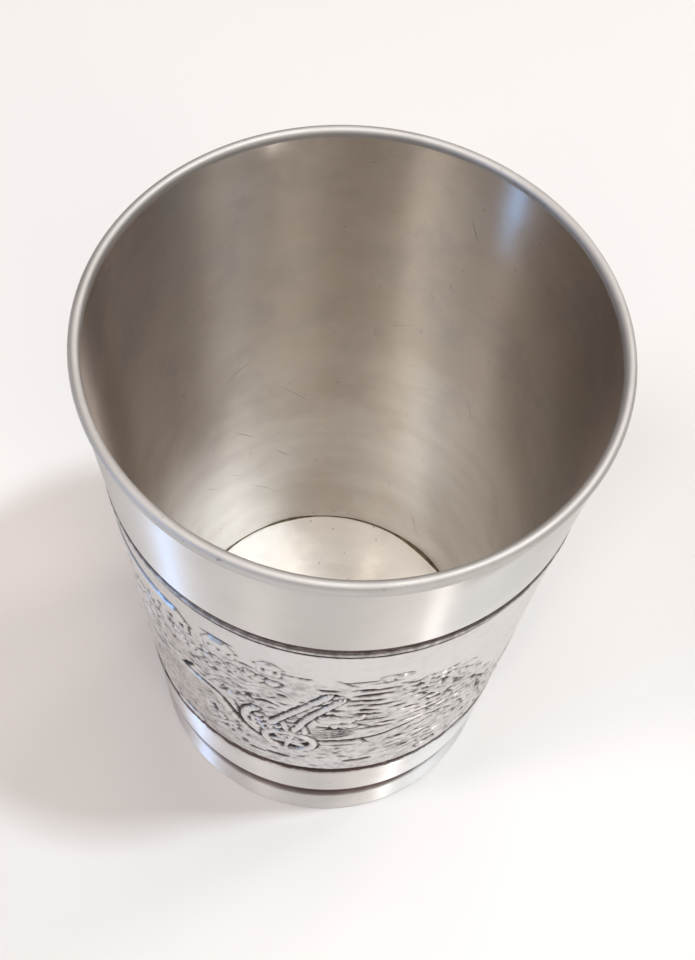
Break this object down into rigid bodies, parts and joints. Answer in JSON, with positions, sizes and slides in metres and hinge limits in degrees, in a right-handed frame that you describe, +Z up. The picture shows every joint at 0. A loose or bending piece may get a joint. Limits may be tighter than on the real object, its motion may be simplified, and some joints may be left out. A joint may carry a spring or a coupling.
{
  "type": "shot cup",
  "caption": "Small tapered pewter shot cup with a round rim bead, a cast landscape relief band round the lower half, a soldered floor and a turned foot ring.",
  "frame": {"origin": "centre of the flat face that the foot stands on, on the cup's axis", "axes": "+Z up along the cup's axis, out of its mouth; the relief band's soldered seam is on the +Y side"},
  "size_m": [0.04, 0.04, 0.0574],
  "materials": {
    "pewter_satin": "turned and brushed pewter, satin",
    "pewter_antique": "cast pewter relief, high spots buffed, hollows darkened with antiquing",
    "pewter_bright": "turned pewter, brighter satin",
    "solder": "tarnished tin solder, dark brown"
  },
  "bodies": {
    "root": {"wall": "pewter_satin", "relief_band": "pewter_antique", "band_top_solder": "solder", "band_seam_solder": "solder", "floor_disc": "pewter_bright", "floor_solder": "solder", "foot_ring": "pewter_bright", "foot_solder": "solder"}
  },
  "joints": []
}
